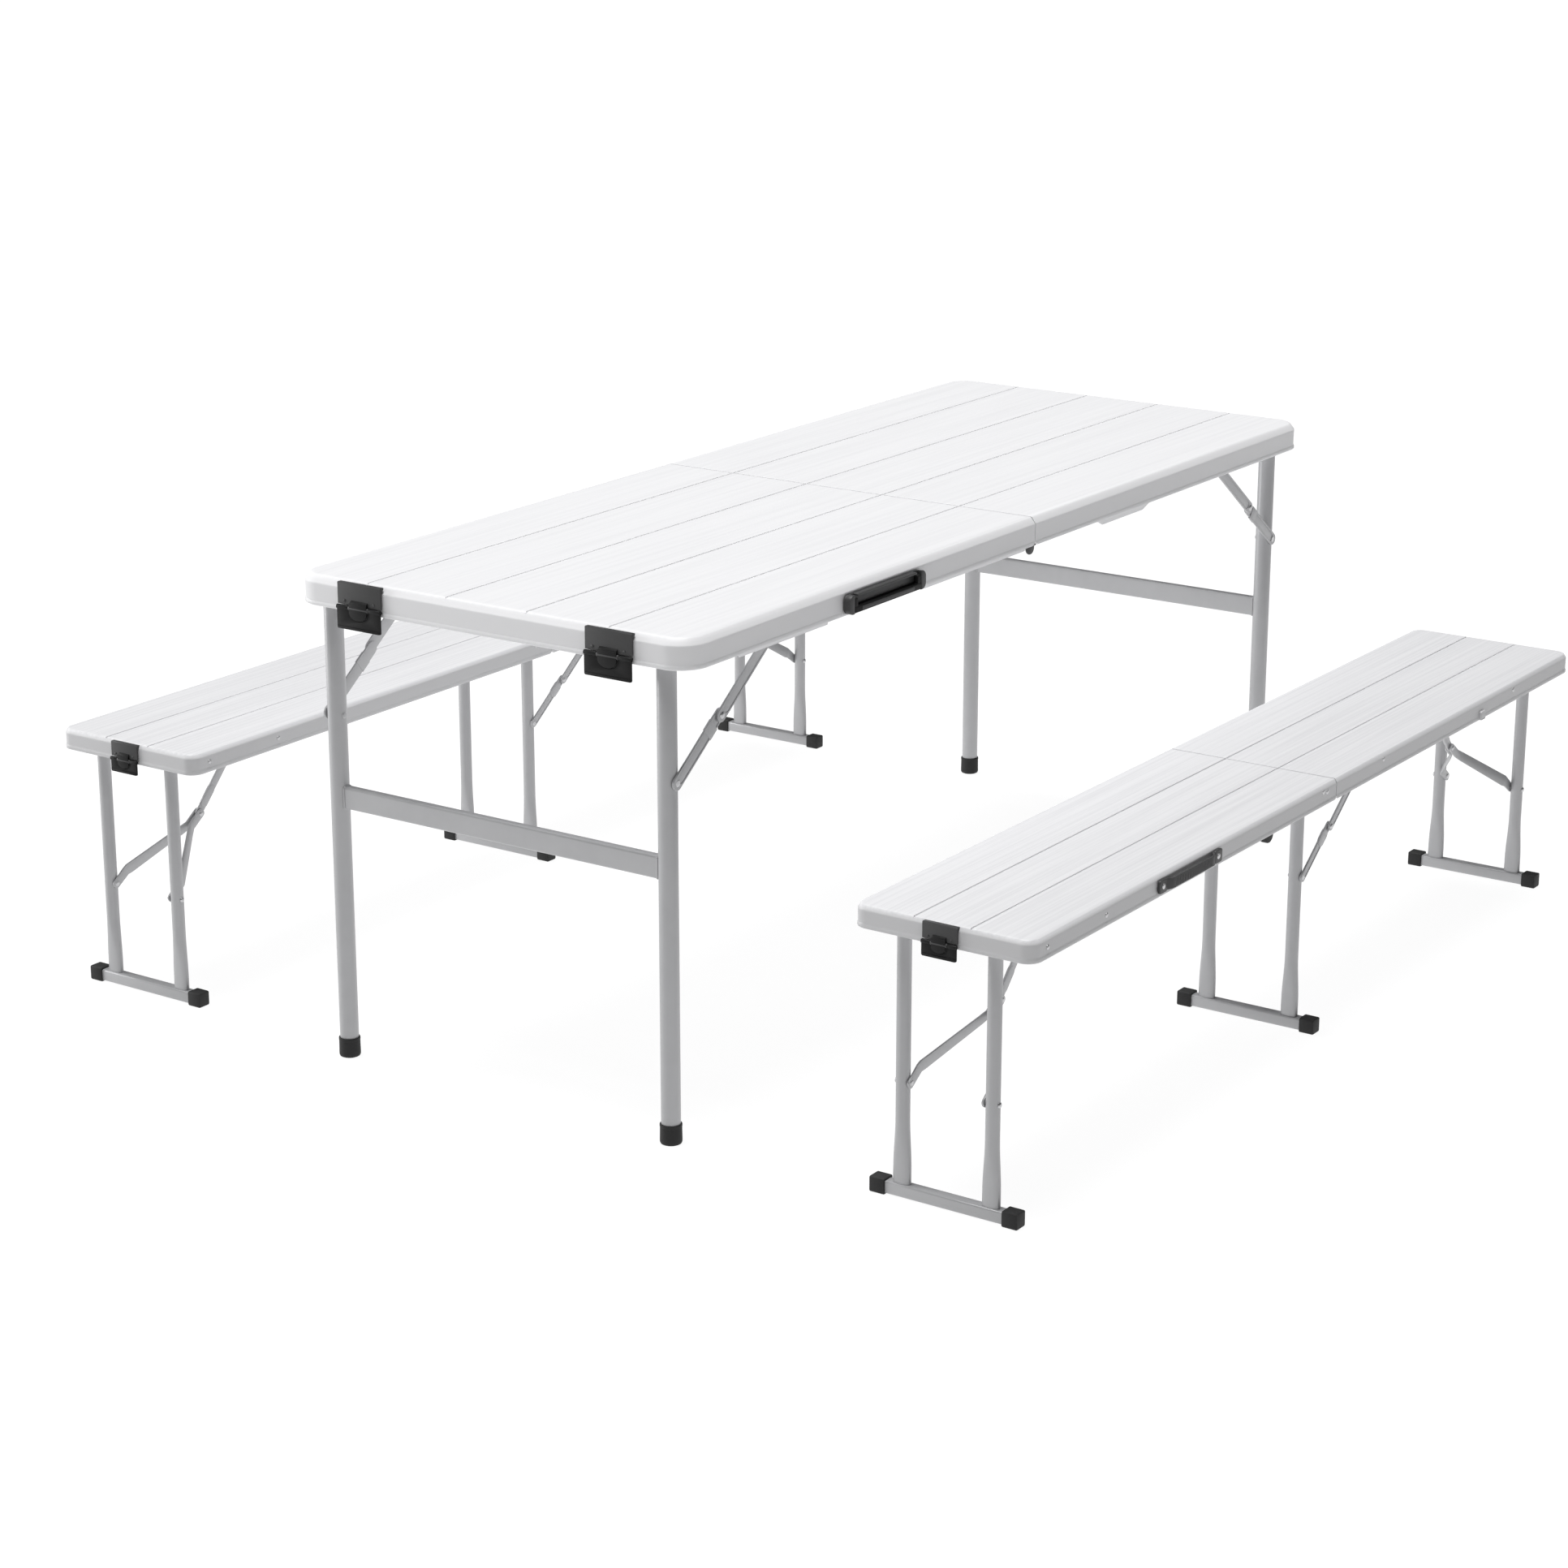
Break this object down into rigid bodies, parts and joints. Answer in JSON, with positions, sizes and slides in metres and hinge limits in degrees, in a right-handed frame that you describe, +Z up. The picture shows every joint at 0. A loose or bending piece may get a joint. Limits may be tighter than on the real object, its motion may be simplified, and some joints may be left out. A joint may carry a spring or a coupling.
{
  "type": "folding picnic table with two benches",
  "caption": "Folding picnic table set: a moulded plastic table and two benches that fold in half, on hinged painted steel legs with toggle braces, latches and handles.",
  "frame": {"origin": "on the floor, midway between the two benches, under the middle of the table", "axes": "+X along the length of the table towards the end without latches, +Y across the table, +Z up"},
  "size_m": [1.8158, 1.7596, 0.735],
  "materials": {
    "white_plastic": "satin moulded polyethylene with a brushed lengthwise grain",
    "grey_steel": "smooth light grey powder coat",
    "black_plastic": "semi-matt moulded plastic",
    "black_rubber": "matt rubber"
  },
  "bodies": {
    "table_near_half": {"table_top_near": "white_plastic", "table_latch_front_plate": "black_plastic", "table_latch_back_plate": "black_plastic", "table_handle_base": "black_plastic"},
    "table_hinges": {"table_hinge_front": "black_plastic", "table_hinge_back": "black_plastic"},
    "table_far_half": {"table_top_far": "white_plastic"},
    "table_near_legs": {"table_legs_near": "grey_steel", "table_foot_near_front": "black_rubber", "table_foot_near_back": "black_rubber"},
    "table_near_upper_links": {"table_brace_near_front_upper_link": "grey_steel", "table_brace_near_back_upper_link": "grey_steel"},
    "table_near_lower_links": {"table_brace_near_front_lower_link": "grey_steel", "table_brace_near_back_lower_link": "grey_steel"},
    "table_far_legs": {"table_legs_far": "grey_steel", "table_foot_far_front": "black_rubber", "table_foot_far_back": "black_rubber"},
    "table_far_upper_links": {"table_brace_far_front_upper_link": "grey_steel", "table_brace_far_back_upper_link": "grey_steel"},
    "table_far_lower_links": {"table_brace_far_front_lower_link": "grey_steel", "table_brace_far_back_lower_link": "grey_steel"},
    "table_latch_front": {"table_latch_front_flap": "black_plastic"},
    "table_latch_back": {"table_latch_back_flap": "black_plastic"},
    "table_handle": {"table_handle_grip": "black_plastic"},
    "front_bench_near_half": {"front_bench_seat_near": "white_plastic", "front_bench_latch_plate": "black_plastic", "front_bench_strap": "black_plastic"},
    "front_bench_hinges": {"front_bench_hinge_front": "grey_steel", "front_bench_hinge_back": "grey_steel"},
    "front_bench_far_half": {"front_bench_seat_far": "white_plastic"},
    "front_bench_near_legs": {"front_bench_legs_near": "grey_steel"},
    "front_bench_near_struts": {"front_bench_strut_near_front": "grey_steel", "front_bench_strut_near_back": "grey_steel"},
    "front_bench_near_strut_link": {"front_bench_strut_link_near": "grey_steel"},
    "front_bench_far_legs": {"front_bench_legs_far": "grey_steel"},
    "front_bench_far_struts": {"front_bench_strut_far_front": "grey_steel", "front_bench_strut_far_back": "grey_steel"},
    "front_bench_far_strut_link": {"front_bench_strut_link_far": "grey_steel"},
    "front_bench_middle_legs": {"front_bench_legs_middle": "grey_steel"},
    "front_bench_stay_lower": {"front_bench_stay_lower_link": "grey_steel"},
    "front_bench_stay_upper": {"front_bench_stay_upper_link": "grey_steel"},
    "front_bench_latch": {"front_bench_latch_flap": "black_plastic"},
    "back_bench_near_half": {"back_bench_seat_near": "white_plastic", "back_bench_latch_plate": "black_plastic", "back_bench_strap": "black_plastic"},
    "back_bench_hinges": {"back_bench_hinge_front": "grey_steel", "back_bench_hinge_back": "grey_steel"},
    "back_bench_far_half": {"back_bench_seat_far": "white_plastic"},
    "back_bench_near_legs": {"back_bench_legs_near": "grey_steel"},
    "back_bench_near_struts": {"back_bench_strut_near_front": "grey_steel", "back_bench_strut_near_back": "grey_steel"},
    "back_bench_near_strut_link": {"back_bench_strut_link_near": "grey_steel"},
    "back_bench_far_legs": {"back_bench_legs_far": "grey_steel"},
    "back_bench_far_struts": {"back_bench_strut_far_front": "grey_steel", "back_bench_strut_far_back": "grey_steel"},
    "back_bench_far_strut_link": {"back_bench_strut_link_far": "grey_steel"},
    "back_bench_middle_legs": {"back_bench_legs_middle": "grey_steel"},
    "back_bench_stay_lower": {"back_bench_stay_lower_link": "grey_steel"},
    "back_bench_stay_upper": {"back_bench_stay_upper_link": "grey_steel"},
    "back_bench_latch": {"back_bench_latch_flap": "black_plastic"}
  },
  "joints": [
    {"name": "table_fold_first", "type": "hinge", "parent": "table_near_half", "child": "table_hinges", "pos_m": [-0.012, 0, 0.7025], "axis": [0, 1, 0], "range_deg": [0, 90]},
    {"name": "table_fold_second", "type": "hinge", "parent": "table_hinges", "child": "table_far_half", "pos_m": [0.012, 0, 0.7025], "axis": [0, 1, 0], "range_deg": [0, 90]},
    {"name": "table_near_legs_fold", "type": "hinge", "parent": "table_near_half", "child": "table_near_legs", "pos_m": [-0.874, 0, 0.711], "axis": [0, -1, 0], "range_deg": [0, 90]},
    {"name": "table_near_lower_links_turn", "type": "hinge", "parent": "table_near_legs", "child": "table_near_lower_links", "pos_m": [-0.874, 0, 0.527], "axis": [0, -1, 0], "range_deg": [0, 53.14]},
    {"name": "table_near_upper_links_turn", "type": "hinge", "parent": "table_near_half", "child": "table_near_upper_links", "pos_m": [-0.629, 0, 0.711], "axis": [0, -1, 0], "range_deg": [-36.96, 0]},
    {"name": "table_far_legs_fold", "type": "hinge", "parent": "table_far_half", "child": "table_far_legs", "pos_m": [0.874, 0, 0.711], "axis": [0, 1, 0], "range_deg": [0, 90]},
    {"name": "table_far_lower_links_turn", "type": "hinge", "parent": "table_far_legs", "child": "table_far_lower_links", "pos_m": [0.874, 0, 0.527], "axis": [0, 1, 0], "range_deg": [0, 53.14]},
    {"name": "table_far_upper_links_turn", "type": "hinge", "parent": "table_far_half", "child": "table_far_upper_links", "pos_m": [0.629, 0, 0.711], "axis": [0, 1, 0], "range_deg": [-36.96, 0]},
    {"name": "table_latch_front_swing", "type": "hinge", "parent": "table_near_half", "child": "table_latch_front", "pos_m": [-0.9045, -0.22, 0.69845], "axis": [0, 1, 0], "range_deg": [0, 140]},
    {"name": "table_latch_back_swing", "type": "hinge", "parent": "table_near_half", "child": "table_latch_back", "pos_m": [-0.9045, 0.22, 0.69845], "axis": [0, 1, 0], "range_deg": [0, 140]},
    {"name": "table_handle_swing", "type": "hinge", "parent": "table_near_half", "child": "table_handle", "pos_m": [-0.43, -0.3578, 0.715], "axis": [-1, 0, 0], "range_deg": [0, 95]},
    {"name": "front_bench_place", "type": "slide", "parent": "table_near_half", "child": "front_bench_near_half", "axis": [0, -1, 0], "range_m": [-0.24, 0.3]},
    {"name": "front_bench_fold_first", "type": "hinge", "parent": "front_bench_near_half", "child": "front_bench_hinges", "pos_m": [-0.009, -0.73, 0.3865], "axis": [0, 1, 0], "range_deg": [0, 90]},
    {"name": "front_bench_fold_second", "type": "hinge", "parent": "front_bench_hinges", "child": "front_bench_far_half", "pos_m": [0.009, -0.73, 0.3865], "axis": [0, 1, 0], "range_deg": [0, 90]},
    {"name": "front_bench_near_legs_fold", "type": "hinge", "parent": "front_bench_near_half", "child": "front_bench_near_legs", "pos_m": [-0.847, -0.73, 0.3915], "axis": [0, -1, 0], "range_deg": [0, 90]},
    {"name": "front_bench_near_struts_turn", "type": "hinge", "parent": "front_bench_near_legs", "child": "front_bench_near_struts", "pos_m": [-0.847, -0.73, 0.1665], "axis": [0, -1, 0], "range_deg": [0, 56.56]},
    {"name": "front_bench_near_strut_link_turn", "type": "hinge", "parent": "front_bench_near_half", "child": "front_bench_near_strut_link", "pos_m": [-0.597, -0.73, 0.3915], "axis": [0, -1, 0], "range_deg": [-45.42, 0]},
    {"name": "front_bench_far_legs_fold", "type": "hinge", "parent": "front_bench_far_half", "child": "front_bench_far_legs", "pos_m": [0.847, -0.73, 0.3915], "axis": [0, 1, 0], "range_deg": [0, 90]},
    {"name": "front_bench_far_struts_turn", "type": "hinge", "parent": "front_bench_far_legs", "child": "front_bench_far_struts", "pos_m": [0.847, -0.73, 0.1665], "axis": [0, 1, 0], "range_deg": [0, 56.56]},
    {"name": "front_bench_far_strut_link_turn", "type": "hinge", "parent": "front_bench_far_half", "child": "front_bench_far_strut_link", "pos_m": [0.597, -0.73, 0.3915], "axis": [0, 1, 0], "range_deg": [-45.42, 0]},
    {"name": "front_bench_middle_legs_fold", "type": "hinge", "parent": "front_bench_far_half", "child": "front_bench_middle_legs", "pos_m": [0.018, -0.73, 0.3915], "axis": [0, -1, 0], "range_deg": [0, 90]},
    {"name": "front_bench_stay_lower_turn", "type": "hinge", "parent": "front_bench_middle_legs", "child": "front_bench_stay_lower", "pos_m": [0.018, -0.73, 0.2415], "axis": [0, -1, 0], "range_deg": [0, 53.18]},
    {"name": "front_bench_stay_upper_turn", "type": "hinge", "parent": "front_bench_far_half", "child": "front_bench_stay_upper", "pos_m": [0.218, -0.73, 0.3915], "axis": [0, -1, 0], "range_deg": [-36.92, 0]},
    {"name": "front_bench_latch_swing", "type": "hinge", "parent": "front_bench_near_half", "child": "front_bench_latch", "pos_m": [-0.874, -0.73, 0.3821], "axis": [0, 1, 0], "range_deg": [0, 140]},
    {"name": "back_bench_place", "type": "slide", "parent": "table_near_half", "child": "back_bench_near_half", "axis": [0, 1, 0], "range_m": [-0.24, 0.3]},
    {"name": "back_bench_fold_first", "type": "hinge", "parent": "back_bench_near_half", "child": "back_bench_hinges", "pos_m": [-0.009, 0.73, 0.3865], "axis": [0, 1, 0], "range_deg": [0, 90]},
    {"name": "back_bench_fold_second", "type": "hinge", "parent": "back_bench_hinges", "child": "back_bench_far_half", "pos_m": [0.009, 0.73, 0.3865], "axis": [0, 1, 0], "range_deg": [0, 90]},
    {"name": "back_bench_near_legs_fold", "type": "hinge", "parent": "back_bench_near_half", "child": "back_bench_near_legs", "pos_m": [-0.847, 0.73, 0.3915], "axis": [0, -1, 0], "range_deg": [0, 90]},
    {"name": "back_bench_near_struts_turn", "type": "hinge", "parent": "back_bench_near_legs", "child": "back_bench_near_struts", "pos_m": [-0.847, 0.73, 0.1665], "axis": [0, -1, 0], "range_deg": [0, 56.56]},
    {"name": "back_bench_near_strut_link_turn", "type": "hinge", "parent": "back_bench_near_half", "child": "back_bench_near_strut_link", "pos_m": [-0.597, 0.73, 0.3915], "axis": [0, -1, 0], "range_deg": [-45.42, 0]},
    {"name": "back_bench_far_legs_fold", "type": "hinge", "parent": "back_bench_far_half", "child": "back_bench_far_legs", "pos_m": [0.847, 0.73, 0.3915], "axis": [0, 1, 0], "range_deg": [0, 90]},
    {"name": "back_bench_far_struts_turn", "type": "hinge", "parent": "back_bench_far_legs", "child": "back_bench_far_struts", "pos_m": [0.847, 0.73, 0.1665], "axis": [0, 1, 0], "range_deg": [0, 56.56]},
    {"name": "back_bench_far_strut_link_turn", "type": "hinge", "parent": "back_bench_far_half", "child": "back_bench_far_strut_link", "pos_m": [0.597, 0.73, 0.3915], "axis": [0, 1, 0], "range_deg": [-45.42, 0]},
    {"name": "back_bench_middle_legs_fold", "type": "hinge", "parent": "back_bench_far_half", "child": "back_bench_middle_legs", "pos_m": [0.018, 0.73, 0.3915], "axis": [0, -1, 0], "range_deg": [0, 90]},
    {"name": "back_bench_stay_lower_turn", "type": "hinge", "parent": "back_bench_middle_legs", "child": "back_bench_stay_lower", "pos_m": [0.018, 0.73, 0.2415], "axis": [0, -1, 0], "range_deg": [0, 53.18]},
    {"name": "back_bench_stay_upper_turn", "type": "hinge", "parent": "back_bench_far_half", "child": "back_bench_stay_upper", "pos_m": [0.218, 0.73, 0.3915], "axis": [0, -1, 0], "range_deg": [-36.92, 0]},
    {"name": "back_bench_latch_swing", "type": "hinge", "parent": "back_bench_near_half", "child": "back_bench_latch", "pos_m": [-0.874, 0.73, 0.3821], "axis": [0, 1, 0], "range_deg": [0, 140]}
  ],
  "couplings": [
    {"joint": "table_near_lower_links_turn", "follows": "table_near_legs_fold", "ratio": 0.58992},
    {"joint": "table_near_upper_links_turn", "follows": "table_near_legs_fold", "ratio": -0.41008},
    {"joint": "table_far_lower_links_turn", "follows": "table_far_legs_fold", "ratio": 0.58992},
    {"joint": "table_far_upper_links_turn", "follows": "table_far_legs_fold", "ratio": -0.41008},
    {"joint": "front_bench_near_struts_turn", "follows": "front_bench_near_legs_fold", "ratio": 0.62791},
    {"joint": "front_bench_near_strut_link_turn", "follows": "front_bench_near_legs_fold", "ratio": -0.50412},
    {"joint": "front_bench_far_struts_turn", "follows": "front_bench_far_legs_fold", "ratio": 0.62791},
    {"joint": "front_bench_far_strut_link_turn", "follows": "front_bench_far_legs_fold", "ratio": -0.50412},
    {"joint": "front_bench_stay_lower_turn", "follows": "front_bench_middle_legs_fold", "ratio": 0.59033},
    {"joint": "front_bench_stay_upper_turn", "follows": "front_bench_middle_legs_fold", "ratio": -0.40967},
    {"joint": "back_bench_near_struts_turn", "follows": "back_bench_near_legs_fold", "ratio": 0.62791},
    {"joint": "back_bench_near_strut_link_turn", "follows": "back_bench_near_legs_fold", "ratio": -0.50412},
    {"joint": "back_bench_far_struts_turn", "follows": "back_bench_far_legs_fold", "ratio": 0.62791},
    {"joint": "back_bench_far_strut_link_turn", "follows": "back_bench_far_legs_fold", "ratio": -0.50412},
    {"joint": "back_bench_stay_lower_turn", "follows": "back_bench_middle_legs_fold", "ratio": 0.59033},
    {"joint": "back_bench_stay_upper_turn", "follows": "back_bench_middle_legs_fold", "ratio": -0.40967}
  ]
}
